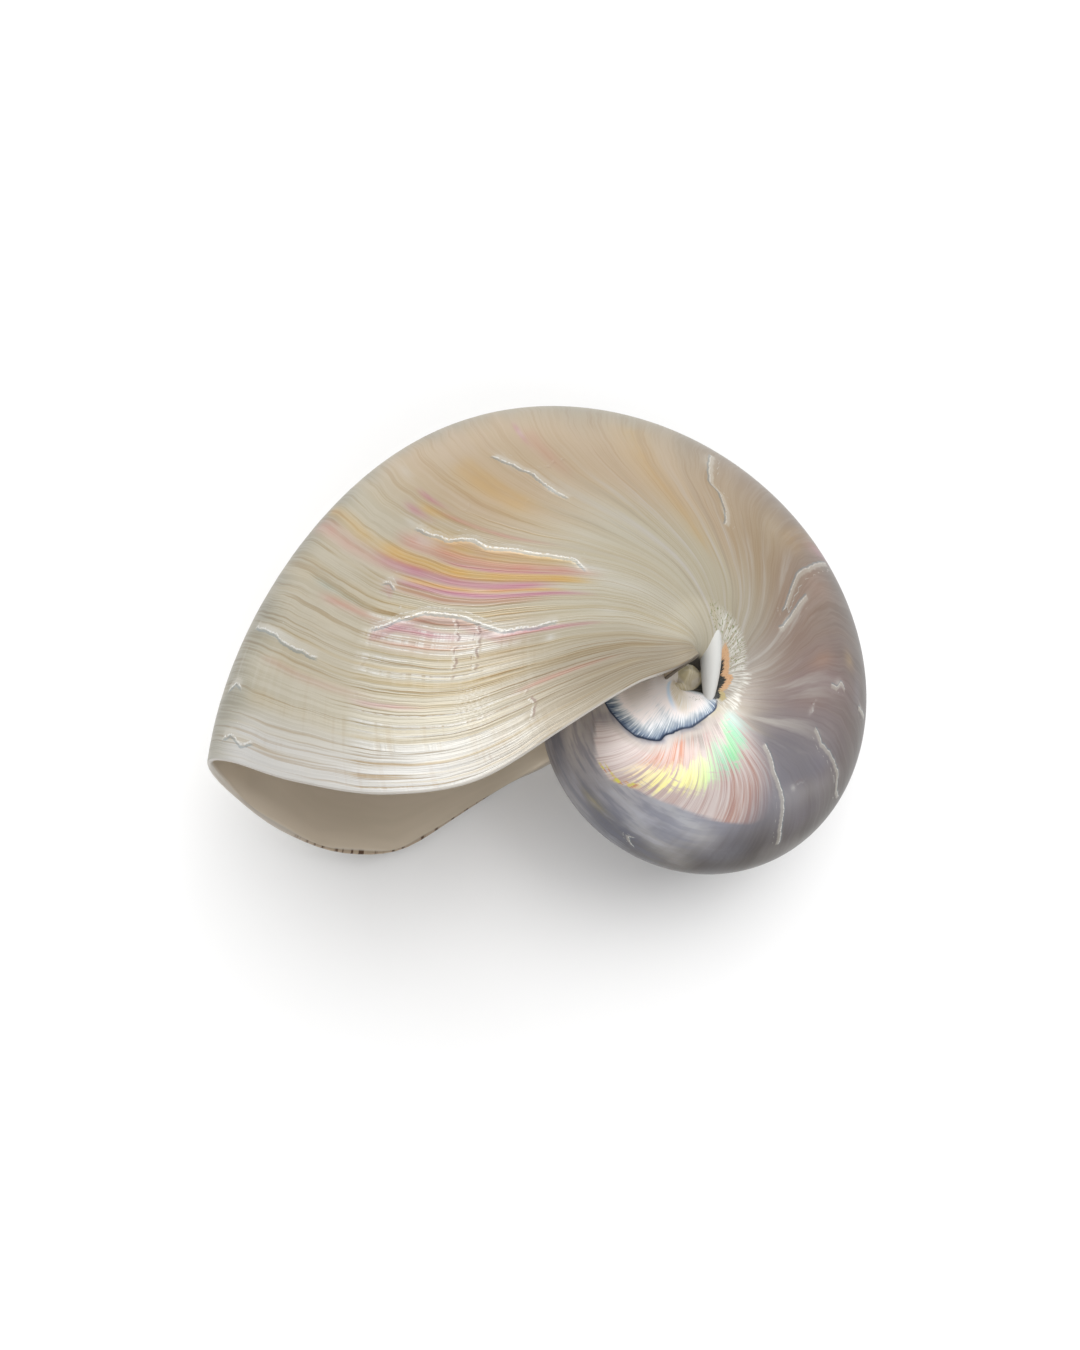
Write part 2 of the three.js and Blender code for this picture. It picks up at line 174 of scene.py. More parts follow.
# Local rainbow bands: the line's growth angle, first and last share, half width in degrees,
# strength, colour.
TINTED_BANDS = [
    (-11.3, .345, .42, .3, .6, MAGENTA), (-10.6, .58, .72, .5, .5, ROSE), (-12.2, .16, .35, .5, .3, ROSE),
    (-21.8, .55, .69, .5, .7, MAGENTA), (-20.8, .36, .5, 1, .5, ROSE), (-22.8, .36, .5, .7, .6, MAGENTA),
    (-23.6, .24, .34, .7, .6, ROSE), (-25, .2, .32, .5, .4, TEAL),
    (-29.3, .34, .6, .6, .5, ROSE), (-30.7, .36, .66, .6, .8, MAGENTA), (-31.8, .36, .62, .5, .8, GOLD),
    (-33.3, .3, .6, 1, .9, MAGENTA), (-35.4, .3, .66, 1.2, .9, GOLD), (-37, .42, .62, .35, .7, MAGENTA),
    (-38.4, .32, .66, 1.5, .8, ROSE), (-40.8, .34, .62, 1.8, .6, GOLD),
    (-32.6, .08, .33, 1.2, .6, ROSE), (-35.2, .08, .36, 1.1, .55, GOLD),
    (-43.8, .29, .33, .7, .7, MAGENTA), (-45.8, .31, .37, .8, .6, GOLD), (-47.7, .29, .34, .5, .7, MAGENTA),
    (-46.6, .37, .56, .45, .6, ROSE), (-57, .3, .5, 3.5, .3, GOLD), (-74, .3, .46, 2, .25, ROSE),
    (-98, .3, .7, 5, .18, GOLD), (-152, .2, .46, 5, .2, GOLD), (-156, .02, .3, 2.5, .35, MAGENTA),
    (-72, .26, .33, .5, .5, MAGENTA),
]

# Soft clouds of colour, as the smears, each with its colour.
CLOUDS = [
    (-149, .46, 7, .09, .4, HONEY), (-156, .3, 3, .06, .5, (184, 140, 136)),
    (-157, .19, 2, .06, .5, (140, 136, 144)), (-170, .42, 6, .09, .4, (194, 156, 134)),
    (-186, .5, 6, .1, .35, (172, 158, 146)), (-199.5, .51, 4, .06, .5, (198, 156, 128)),
    (-194, .35, 3, .03, .6, (194, 166, 122)), (-201, .29, 6, .03, .4, (148, 146, 158)),
    (-208, .45, 5, .08, .35, (158, 134, 138)), (-220, .55, 6, .08, .35, (178, 152, 142)),
    (-236, .38, 7, .06, .4, (150, 146, 158)), (-246, .24, 6, .05, .4, (140, 134, 150)),
    (-322.5, .119, 5, .022, .8, (176, 164, 122)), (-26, .27, 26, .09, .4, (236, 226, 208)),
    (-25, .56, 6, .05, .4, (186, 154, 120)),
    (-352, .33, 9, .05, .5, (150, 140, 134)), (-276, .16, 9, .05, .5, (158, 160, 172)),
    (-300, .22, 8, .03, .6, (116, 118, 132)), (-318, .18, 7, .03, .5, (168, 168, 178)),
]

# Where the mouth's own nacre ends on the early whorl: growth angle at a share.
CALLUS_SHARES = [0, .2, .41, .428, .456, .5, .545, .578, .617, .667, .689, .711, .728, .767, .795, .822,
                 .85, .9]
CALLUS_ANGLES = [-418, -400, -374, -368, -360, -344.5, -335.5, -330, -327, -320, -316, -310, -303, -291,
                 -280, -266, -256, -236]
CALLUS_HEIGHT = 0.0003
CRUMB_HEIGHT = 0.00004

# Upper edge of the rainbow on the early whorl, a painted reflection of the light: share at a growth angle.
GLOW_ANGLES = [-366, -356, -345, -337, -329.6, -325, -321, -306, -293, -272, -250]
GLOW_SHARES = [.38, .33, .28, .25, .25, .29, .313, .346, .333, .305, .3]

# Navel: the fill in the well and the folded end of the lip that lies across it, measured from
# the coil's axis before the shell is laid down.
PLUG_RADIUS = 0.0058
PLUG_HEIGHT = 0.0102  # of its middle
PLUG_LEVEL = 0.0025  # distance from the middle at which it has risen to the well's edge
PLUG_RECESS = 0.0003
PLUG_ROUGHNESS = 0.00025
PLUG_GRAIN = 1500  # rough spots in a metre
PLUG_RINGS = 24
PLUG_SPOKES = 72
PLUG_OLDEST = -450  # the first turn, in degrees, of the coil beside the fill
PLUG_TURNS = (-400, -165)  # the turns between which its edge follows the well's
FOLD_FROM = np.array([0.0034, 0.0115, 0.0252])
FOLD_TO = np.array([0.0015, -0.0096, 0.0151])
FOLD_WIDTH = 0.0044
FOLD_DEPTH = 0.006
FOLD_BEND = 0.0006
FOLD_RINGS = 50
FOLD_SPOKES = 40

# Numbers by which the colours tell the layers apart: 0 is the outer skin and 1 the inside.
SEPTUM_LAYER = 2
NAVEL_LAYER = 3
FOLD_LAYER = 4

# Colour bands along the growth lines, by degrees back from the lip. The keel's row is its own olive
# and grey, darkened as painted shade on the rim that turns away from the light.
KEEL_SHADED_BANDS = [(0, OLIVE), (100, OLIVE), (130, UMBER), (175, ASH), (285, ASH), (310, SLATE), (350, IVORY)]
FLANK_BANDS = [(0, SILVER), (3, SILVER), (8, CREAM), (20, BEIGE), (40, BEIGE), (50, PEACH), (105, PEACH),
               (140, TAN), (160, CLAY), (200, MAUVE), (240, DOVE), (300, PEARL), (350, IVORY)]
NAVEL_BANDS = [(0, FAWN), (12, FAWN), (24, CREAM), (50, CREAM), (110, BEIGE), (160, SHADE),
               (210, SHADE), (240, BEIGE), (350, IVORY)]
PAINT_STRENGTH = 0.87  # the paint's share of the seen tone; the gloss adds the rest
AGE_START = 50  # degrees back from the lip from which the fine lines spread apart
NOISE_ROUGHNESS = 0.55
BUMP_HEIGHT = 0.00014

# Camera, looking down on the shell.
CAMERA_PLACE = (-0.0368, -0.0452, 0.2358)
CAMERA_TURN = (rad(8.82), rad(-8.28), rad(1.563))
CAMERA_LENS = 22.82
CAMERA_SENSOR = 36
CAMERA_NEAREST = 0.01

# Studio: the name, place, size and power of each soft light, the surround and the floor.
LIGHTS = [("crown_light", (-0.2, 1.0, 2.24), 2.2, 54), ("back_light", (0.8, 0.85, 2.1), 1.2, 11),
          ("mouth_light", (0.2, -1.6, 1.3), 1.6, 13)]
LIT_PLACE = (0, 0, 0.03)
SURROUND_STRENGTH = 0.3
FLOOR_HALF = 3
FLOOR_GREY = 0.88
FLOOR_ROUGHNESS = 0.9


def growth_radius(turn):
    """Radius of the keel at a turn: an exponential with a small drift and a flatter last stretch."""
    bump = np.exp(-((turn - FLAT_AT) / FLAT_SPREAD) ** 2) - np.exp(-(FLAT_AT / FLAT_SPREAD) ** 2)
    return MOUTH_RADIUS * np.exp(GROWTH * turn + GROWTH_DRIFT * turn ** 2 + FLATTENING * bump)


def trace_section(samples=400, well_samples=60):
    """Half section: a quarter ellipse from the keel to the widest place, a quarter superellipse
    on to the navel, and the well's wall straight down. Gives the share, point and outward normal."""
    a = np.linspace(0, np.pi / 2, samples)
    power = 2 / FLANK_ROUNDNESS
    outs = [WIDEST_AT + (1 - WIDEST_AT) * np.cos(a),
            WIDEST_AT - (WIDEST_AT - NAVEL_RADIUS) * np.sin(a[1:]) ** power,
            np.full(well_samples, NAVEL_RADIUS)]
    ups = [HALF_WIDTH * np.sin(a),
           NAVEL_HEIGHT + (HALF_WIDTH - NAVEL_HEIGHT) * np.maximum(np.cos(a[1:]), 0) ** power,
           np.linspace(NAVEL_HEIGHT, FOOT_HEIGHT, well_samples + 1)[1:]]
    points = np.column_stack([np.concatenate(outs), np.concatenate(ups)])
    steps = np.linalg.norm(np.diff(points, axis=0), axis=1)
    along = np.concatenate([[0], np.cumsum(steps)])
    tangent = np.gradient(points, along, axis=0)
    tangent /= np.linalg.norm(tangent, axis=1)[:, None]
    normal = np.column_stack([tangent[:, 1], -tangent[:, 0]])
    return along / along[2 * samples - 2], points, normal


SHARE, POINT, NORMAL = trace_section()
FOOT = SHARE[-1]


def smooth_step(value, low, high):
    """0 below low, 1 above high, and a smooth rise between them."""
    t = np.clip((value - low) / (high - low), 0, 1)
    return t * t * (3 - 2 * t)


def smooth_curve(x, places, values, first_slope=0):
    """Curve through values at places: cubic pieces whose slope at each place is that between its
    two neighbours."""
    places, values = np.array(places), np.array(values)
    slopes = np.empty(len(places))
    slopes[1:-1] = (values[2:] - values[:-2]) / (places[2:] - places[:-2])
    slopes[0], slopes[-1] = first_slope, (values[-1] - values[-2]) / (places[-1] - places[-2])
    x = np.clip(x, places[0], places[-1])
    i = np.clip(np.searchsorted(places, x) - 1, 0, len(places) - 2)
    span = places[i + 1] - places[i]
    t = (x - places[i]) / span
    pull = t * (1 - t) * ((1 - t) * slopes[i] - t * slopes[i + 1])
    return values[i] + (values[i + 1] - values[i]) * smooth_step(t, 0, 1) + span * pull


def distance_out(turn, share):
    """Distance of a place of the skin from the coil's axis."""
    return growth_radius(turn) * np.interp(np.abs(share), SHARE, POINT[:, 0])


def lip_ahead(share):
    """Angle of the lip ahead of the mouth's turn."""
    return rad(smooth_curve(np.abs(share), LIP_SHARES, LIP_AHEAD))


def coil_point(turn, share, lift=0):
    """Point of the skin: the section's point, grown by the radius at that turn, moved out square
    to the section by lift, and turned about the coil's axis. The mouth's keel points to -X."""
    size = growth_radius(turn)
    x = np.abs(share)
    out, up = (size * np.interp(x, SHARE, POINT[:, k]) + lift * np.interp(x, SHARE, NORMAL[:, k])
               for k in (0, 1))
    angle = np.pi + turn
    return np.stack([out * np.cos(angle), out * np.sin(angle), np.where(share < 0, -up, up)], -1)


def plateau(value, low, up, down, high):
    """0 outside low to high, 1 between up and down, and smooth rises between them."""
    return smooth_step(value, low, up) * (1 - smooth_step(value, down, high))


def wander(x, seed):
    """Smooth noise of one variable, about -1 to 1: random values at whole numbers, eased between."""
    table = np.random.default_rng(seed).uniform(-1, 1, 4096)
    cell = np.floor(x).astype(int)
    t = smooth_step(x - cell, 0, 1)
    return table[cell % 4096] * (1 - t) + table[(cell + 1) % 4096] * t


def line_growth(growth, share):
    """Growth angle by which a growth line is known: the place's own, less the lag of older lines."""
    lag = smooth_curve(np.abs(share), LAG_SHARES, LAG_ANGLES)
    return growth + lag * smooth_step(-growth, 0, LAG_GROWN + LAG_SPREAD * lag)


def growth_lines(growth, share):
    """Relief of the growth lines: noise along the lines' growth angle alone, bent a little by noise
    along the share, stronger towards the lip and on the middle of the flank."""
    x = np.abs(share)
    bent = line_growth(growth, share) + .3 * wander(x * 14, 5) + .12 * wander(x * 45, 6)
    fine = wander(bent / .8, 1) + .7 * wander(bent / 1.7, 2)
    ridges = np.maximum(wander(bent / 2.2, 7), .25) - .25
    broad = wander(bent / 5, 3) + wander(bent / 11, 4)
    near_lip = np.exp(growth / 22)
    middle = plateau(x, .325, .345, .56, .66)
    size = growth_radius(rad(growth)) / MOUTH_RADIUS
    fine_height = (.008 + .075 * near_lip * (.18 + middle)) * size
    ridge_height = .24 * near_lip * (.08 + middle)
    return .001 * (fine * fine_height + ridges * ridge_height + broad * .01 * size)


def nearness(past):
    """1 close to a mark and 0 from MARK_REACH millimetres on."""
    return 1 - smooth_step(np.abs(past), .7 * MARK_REACH, MARK_REACH)


def scar_relief(growth, share, scar):
    """Relief of one mended chip: the broken edge stands up, and the new shell starts below it and
    rises back over a few millimetres towards the lip. Also gives millimetres past the edge, and
    how much of the mark there is."""
    points, height, drop = scar
    angles, shares = zip(*sorted(points, key=lambda p: p[1]))
    first, last = shares[0], shares[-1]
    edge = np.interp(share, shares, angles)
    edge = edge + .35 * np.abs(np.sin(62 * share + 7 * wander(share * 9, 8))) - .18
    size = growth_radius(rad(growth)) / MOUTH_RADIUS
    past = rad(growth - edge) * distance_out(rad(growth), share) * 1000 / size ** .6
    ends = plateau(share, first - .008, first + .03, last - .03, last + .008)
    stand = np.where(past < 0, np.exp(-(past / .7) ** 2), np.exp(-(past / .3) ** 2))
    sunk = np.where(past > 0, (1 - np.exp(-(past / .5) ** 2)) * np.exp(-past / 4), 0)
    return .001 * ends * (.6 * height * stand - drop * sunk), past, ends * nearness(past)


def crinkle_relief(growth, share, crinkle):
    """Relief of a crack across the growth lines: a shallow groove with one raised side. Also gives
    millimetres past it, and how much of the mark there is."""
    at, first, last, depth = crinkle
    zigzag = .005 * wander(growth * .7, 31) + .003 * wander(growth * 2.1, 32)
    past = (share - at - zigzag) * 1000 * SECTION_LENGTH * growth_radius(rad(growth))
    broken = .55 + .45 * wander(growth * .9 + 50 * at, 33)
    amount = broken * plateau(growth, first - .5, first + 1, last - 1, last + .5)
    groove = np.exp(-(past / .5) ** 2) - .8 * np.exp(-((past + .9) / .6) ** 2)
    return -.001 * amount * depth * groove, past, amount * nearness(past) * min(1, depth / CRACK_FULL)


def callus_distance(growth, share):
    """Distance inside the edge of the mouth's own nacre on the early whorl, with a scalloped edge."""
    x = np.abs(share)
    edge = np.interp(x, CALLUS_SHARES, CALLUS_ANGLES)
    edge = edge + .7 * wander(x * 75, 11) + .8 * wander(x * 24, 12)
    slope = np.gradient(CALLUS_ANGLES, CALLUS_SHARES)
    out = distance_out(rad(growth), x)
    lean = rad(np.interp(x, CALLUS_SHARES, slope)) * out / (SECTION_LENGTH * growth_radius(rad(growth)))
    return rad(edge - growth) * out / np.sqrt(1 + lean ** 2)


def glow_distance(growth, share):
    """Distance below the upper edge of the rainbow, a painted reflection, on the near flank, towards the
    navel.
    """
    edge = np.interp(growth, GLOW_ANGLES, GLOW_SHARES)
    return (share - edge) * SECTION_LENGTH * growth_radius(rad(growth))


def lying(points):
    """Turns points from the coil's own axes to the way that the shell lies."""
    tip = Matrix.Rotation(-LEAN, 3, (-np.sin(LEAN_TOWARDS), np.cos(LEAN_TOWARDS), 0))
    turn = Matrix.Rotation(TURN_ON_TABLE, 3, "Z")
    return points @ np.array(turn @ tip).T


def find_place():
    """Where the coil's axis crosses the middle plane once the shell lies in the solid's box."""
    growth, share = np.meshgrid(np.linspace(-400, 0, 801), np.linspace(-1, 1, 401), indexing="ij")
    skin = lying(coil_point(rad(growth) + lip_ahead(share), share)).reshape(-1, 3)
    low, high = skin.min(0), skin.max(0)
    middle = (SOLID_LOW + SOLID_HIGH) / 2 - (low + high) / 2
    return np.array([middle[0], middle[1], -low[2] - CONTACT_DEPTH])


PLACE = find_place()


def settled(points):
    """Points in the frame, with the lowest spots worn level with the table."""
    laid = lying(points) + PLACE
    laid[..., 2] = np.maximum(laid[..., 2], 0)
    return laid


def rows_of_growth():
    """Growth angles of the skin's rows, from the inner end to the lip, a whole number of inner steps."""
    stretches = [np.linspace(start, end, round((end - start) / spacing), endpoint=False)
                 for start, end, spacing in zip(ROW_LIMITS, ROW_LIMITS[1:], ROW_SPACINGS)]
    rows = np.append(np.concatenate(stretches), 0)
    count = INNER_STEP * int(np.ceil((len(rows) - 1) / INNER_STEP)) + 1
    return np.interp(np.linspace(0, 1, count), np.linspace(0, 1, len(rows)), rows)


def columns_of_share():
    """Shares from the far foot over the keel to the near foot, closer on the near flank."""
    far = np.linspace(-FOOT, 0, FAR_COLUMNS, endpoint=False)
    return np.concatenate([far, np.linspace(0, FOOT, NEAR_COLUMNS + 1)])


def numbers(block, start=0):
    """Vertex numbers of a grid of points."""
    rows, columns = block.shape[:2]
    return np.arange(start, start + rows * columns).reshape(rows, columns)


def grid_faces(index):
    """Quads between neighbours of a grid of vertex numbers."""
    return np.stack([index[:-1, :-1], index[:-1, 1:], index[1:, 1:], index[1:, :-1]], -1).reshape(-1, 4)


def ladder_faces(fine, coarse):
    """Triangles between a finely and a coarsely divided edge, INNER_STEP fine parts to a coarse one."""
    left, right = coarse[:-1], coarse[1:]
    parts = fine[:-1].reshape(-1, INNER_STEP)
    nexts = fine[1:].reshape(-1, INNER_STEP)
    half = INNER_STEP // 2
    to = np.where(np.arange(INNER_STEP) < half, left[:, None], right[:, None])
    fans = np.stack([parts, nexts, to], -1).reshape(-1, 3)
    middles = np.stack([parts[:, half], right, left], -1)
    return np.concatenate([fans, middles])


def corner_faces(edge, last):
    """Triangles that close the small gap between a rounded edge's vertices and a last vertex."""
    ring = np.append(edge, last)
    return np.stack([np.full(len(ring) - 2, ring[0]), ring[1:-1], ring[2:]], -1)


def in_scene(name, data):
    """A new object in the scene, at the origin."""
    thing = bpy.data.objects.new(name, data)
    bpy.context.scene.collection.objects.link(thing)
    return thing


def make_object(name, points, faces, marks, material):
    """A mesh object at the origin. faces are arrays of triangles or quads, marks named vectors."""
    mesh = bpy.data.meshes.new(name)
    mesh.from_pydata(points.tolist(), [], sum([block.tolist() for block in faces], []))
    for mark, values in marks.items():
        layer = mesh.attributes.new(mark, "FLOAT_VECTOR", "POINT")
        layer.data.foreach_set("vector", values.astype(np.float32).reshape(-1))
    mesh.shade_smooth()
    mesh.materials.append(material)
    return in_scene(name, mesh)


def carry(piece):
    """Says that a piece belongs to the shell."""
    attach(piece, "root")
    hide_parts("nautilus_shell")


def oval(growth, share, at, side, half_growth, half_share):
    """1 in the middle of a soft oval and 0 far outside it."""
    return np.exp(-((growth - at) / half_growth) ** 2 - ((share - side) / half_share) ** 2)


def smear(growth, share, at, side, *halves):
    """A soft ragged oval along a growth line."""
    ragged = .75 + .25 * wander(growth * 3.1, 41) * wander(share * 90, 42)
    slope = (line_growth(growth, share) - growth) - (line_growth(at, side) - at)
    return ragged * oval(growth + slope, share, at, side, *halves)


def between(place, stops):
    """Colour at a place between stops of place and colour."""
    places = [stop for stop, _ in stops]
    return np.stack([np.interp(place, places, [colour[k] for _, colour in stops]) for k in range(3)], -1)


def over(paint, amount, colour):
    """The paint with a colour laid over it by an amount."""
    return paint + (np.array(colour) - paint) * amount[..., None]


def nacre_paint(growth, share):
    """Colour of the polished nacre, 0 to 255, before its fine lines: three rows of soft bands along
    the growth lines, for the keel (darkened as painted shade on the rim), the flank and beside
    the navel, with local rainbow bands."""
    lines = line_growth(growth, share)
    back = -lines
    x = np.abs(share)
    wave = x + .02 * wander(back / 7, 51) + .02 * wander(back / 2.3, 52)
    keel, flank, navel = (between(back, stops) for stops in (KEEL_SHADED_BANDS, FLANK_BANDS, NAVEL_BANDS))
    reach = .18 + .37 * smooth_step(back, 40, 120) - .15 * smooth_step(back, 190, 240)
    paint = over(keel, smooth_step(wave, .04, reach), flank)
    further = .16 * smooth_step(back, 60, 120)
    paint = over(paint, smooth_step(wave - further, .42, .66), navel)
    for at, first, last, width, strength, colour in TINTED_BANDS:
        ends = plateau(x, first - .03, first + .03, last - .05, last + .04)
        ends = ends * (.84 + .16 * wander(x * 30 + at, 53) + .28 * wander(lines / .55 + x * 3, 59))
        off = (lines - at + .25 * wander(x * 12 + at, 54)) / width
        paint = over(paint, strength * ends * np.exp(-off ** 2), colour)
    dapple = wander(lines / 1.9, 55) + .6 * wander(x * 17 + lines / 9, 56)
    honeyed = smooth_step(back, 3, 8) * np.exp(growth / 60)
    paint = over(paint, np.clip(dapple, 0, 1) * .45 * honeyed, HONEY)
    cloud = wander(growth / 17, 57) * wander(x * 13 + .05 * growth, 58) * smooth_step(-growth, 200, 280)
    paint = over(paint, np.clip(cloud, 0, 1) * .5, CHALK)
    paint = over(paint, np.clip(-cloud, 0, 1) * .8, DUSK)
    for *place, strength, colour in CLOUDS:
        paint = over(paint, strength * smear(growth, share, *place), colour)
    blooms = [strength * smear(growth, share, *place) for *place, strength in BLOOMS]
    return over(paint, np.maximum.reduce(blooms), CHALK)


def clearer(first, second):
    """Of two marks, each a distance and an amount, the one with the greater amount at each place."""
    return [np.where(first[1] > second[1], a, b) for a, b in zip(first, second)]


def skin_marks(growth, share, layer):
    """Relief of the skin, and what its colour follows: the lines' growth in whorls, the share and
    layer; millimetres past scars, the callus's edge and the edge of the rainbow's painted
    reflection; past cracks, the crumbling and the true growth; how much of a scar and a crack
    there is; and the paint."""
    relief = growth_lines(growth, share)
    scars, cracks = ((np.full_like(growth, MARK_REACH), np.zeros_like(growth)) for _ in range(2))
    for side, scar_list in ((1, NEAR_SCARS), (-1, FAR_SCARS)):
        for scar in scar_list:
            height, *mark = scar_relief(growth, side * share, scar)
            relief = relief + height
            scars = clearer(mark, scars)
    for crinkle in CRINKLES:
        height, *mark = crinkle_relief(growth, share, crinkle)
        relief = relief + height
        cracks = clearer(mark, cracks)
    crumble = oval(growth, share, *CRUMBLED)
    relief = relief + CRUMB_HEIGHT * crumble * wander(growth * 3.1, 43) * wander(share * 180, 44)
    callus = callus_distance(growth, share)
    relief = relief * (1 - smooth_step(callus, -.0005, .0005))
    relief = relief + CALLUS_HEIGHT * smooth_step(callus, -.0002, .0006)
    glow = np.where(share > 0, glow_distance(growth, share), -.01)
    marks = {
        "coil": np.stack([line_growth(growth, share) / WHORL, share, np.full_like(growth, layer)], -1),
        "edges": np.stack([scars[0], callus * 1000, glow * 1000], -1),
        "cracks": np.stack([cracks[0], crumble, growth / WHORL], -1),
        "amounts": np.stack([scars[1], cracks[1], np.zeros_like(growth)], -1),
        "paint": linear(nacre_paint(growth, share) * PAINT_STRENGTH),
    }
    return relief, marks


def make_shell(material):
    """The wall as one closed skin: its outer face on the fine grid with its relief, a rounded
    strip over the lip, its plain inner face on a coarse grid, and strips along its two feet and
    its hidden inner end."""
    rows, columns = rows_of_growth(), columns_of_share()
    growth, share = np.meshgrid(rows, columns, indexing="ij")
    relief, skin_values = skin_marks(growth, share, 0)
    fade = 1 - smooth_step(np.abs(share), 1, 1.03)
    outer = coil_point(rad(growth) + lip_ahead(share), share, relief * fade)

    parts = np.arange(1, LIP_PARTS + 1)[:, None] / (LIP_PARTS + 1)
    depth = LIP_WALL * (1 - np.cos(np.pi * parts)) / 2
    ahead = LIP_WALL / 2 * np.sin(np.pi * parts) / distance_out(lip_ahead(columns), columns)
    lip = coil_point(lip_ahead(columns) + ahead, np.broadcast_to(columns, ahead.shape), relief[-1] - depth)
    lip_values = {name: np.repeat(value[-1:], LIP_PARTS, 0) for name, value in skin_values.items()}
    lip_values["coil"][..., 2] = parts

    inner_growth, inner_share = np.meshgrid(rows[::INNER_STEP], columns[::INNER_STEP], indexing="ij")
    thickness = WALL - (WALL - LIP_WALL) * np.exp(inner_growth / LIP_TAPER)
    inner = coil_point(rad(inner_growth) + lip_ahead(inner_share), inner_share, -thickness)
    _, inner_values = skin_marks(inner_growth, inner_share, 1)

    skin = numbers(outer)
    strip = numbers(lip, skin.size)
    inside = numbers(inner, skin.size + strip.size)
    strip = np.concatenate([skin[-1:], strip])
    faces = [
        grid_faces(skin)[:, ::-1],
        grid_faces(strip)[:, ::-1],
        grid_faces(inside),
        ladder_faces(strip[-1], inside[-1])[:, ::-1],
        ladder_faces(skin[0], inside[0]),
        ladder_faces(skin[:, 0], inside[:, 0])[:, ::-1],
        ladder_faces(skin[:, -1], inside[:, -1]),
        corner_faces(strip[:, 0], inside[-1, 0])[:, ::-1],
        corner_faces(strip[:, -1], inside[-1, -1]),
    ]
    points = settled(np.concatenate([block.reshape(-1, 3) for block in (outer, lip, inner)]))
    marks = {name: np.concatenate([values[name].reshape(-1, 3) for values in
                                   (skin_values, lip_values, inner_values)]) for name in skin_values}
    return make_object("nautilus_shell_skin", points, faces, marks, material)


def make_septum(material):
    """The dished wall behind the chamber, one closed skin with the siphuncle's hole: rings that run
    from the hole out to the walls on the front and back again behind, round the crescent section."""
    around = np.linspace(0, 2 * np.pi, SEPTUM_SPOKES, endpoint=False)
    rings = np.linspace(0, 1, SEPTUM_RINGS)
    reach = np.concatenate([rings, rings[::-1]])[:, None]
    behind = np.repeat([0, 1], SEPTUM_RINGS)[:, None]
    square = np.maximum(np.abs(np.cos(around)), np.abs(np.sin(around)))
    hole = SIPHUNCLE_RADIUS / growth_radius(SEPTUM_AT)
    side = np.cos(around) * (hole + (1 / square - hole) * reach)
    deep = hole / CRESCENT_DEPTH
    depth = .5 + np.sin(around) * (deep + (.5 / square - deep) * reach)
    dish = SEPTUM_DISH * 4 * depth * (1 - depth) * (1 - np.clip(np.abs(side), 0, 1) ** 4)
    turn = SEPTUM_AT - dish
    roof = coil_point(turn, side * SIDE_REACH * FOOT, -WALL / 2)
    floor = coil_point(turn - rad(WHORL), side * FLOOR_REACH, -WALL / 2)
    points = roof + (floor - roof) * depth[..., None]
    thick = SEPTUM_THICKNESS / np.linalg.norm(points[..., :2], axis=-1) * behind
    turned = (points[..., 0] + 1j * points[..., 1]) * np.exp(-1j * thick)
    points = np.stack([turned.real, turned.imag, points[..., 2]], -1)
    index = np.pad(numbers(points), (0, 1), "wrap")
    coil = np.stack([turn / rad(WHORL), side, np.full_like(side, SEPTUM_LAYER)], -1).reshape(-1, 3)
    return make_object("septum", settled(points.reshape(-1, 3)), [grid_faces(index)],
                       {"coil": coil}, material)


def ball_faces(index):
    """Faces of a grid that closes on itself round each row, with a point at either end, numbered
    next after the grid's own."""
    first, last = index.size, index.size + 1
    ring = np.concatenate([index, index[:, :1]], 1)
    caps = [np.stack([np.full(index.shape[1], first), ring[0, :-1], ring[0, 1:]], -1),
            np.stack([np.full(index.shape[1], last), ring[-1, 1:], ring[-1, :-1]], -1)]
    return [grid_faces(ring)[:, ::-1]] + caps


def make_navel_plug(material):
    """The fill in the well, a drum with two rough ends: the height goes from that of the middle to
    that of the well's edge at each angle, which rises with the coil, and noise is added."""
    around = np.linspace(0, 2 * np.pi, PLUG_SPOKES, endpoint=False)
    out = np.linspace(.05, 1, PLUG_RINGS)[:, None]
    x, y = (PLUG_RADIUS * out * f(around) for f in (np.cos, np.sin))
    rough = PLUG_ROUGHNESS * wander(x * PLUG_GRAIN + 40, 21) * wander(y * PLUG_GRAIN + 40, 22)
    turn = np.mod(np.degrees(around) - WHORL / 2 - PLUG_OLDEST, WHORL) + PLUG_OLDEST
    edge = NAVEL_HEIGHT * growth_radius(rad(np.clip(turn, *PLUG_TURNS))) - PLUG_RECESS
    level = smooth_step(PLUG_RADIUS * out, 0, PLUG_LEVEL)
    top = PLUG_HEIGHT + (edge - PLUG_HEIGHT) * level + rough
    drum = np.concatenate([np.stack([x, y, top], -1), np.stack([x, y, -top], -1)[::-1]])
    points = np.concatenate([drum.reshape(-1, 3), [[0, 0, top[0].mean()], [0, 0, -top[0].mean()]]])
    coil = np.column_stack([points[:, :2] * 100, np.full(len(points), NAVEL_LAYER)])
    return make_object("navel_plug", settled(points), ball_faces(numbers(drum)), {"coil": coil}, material)


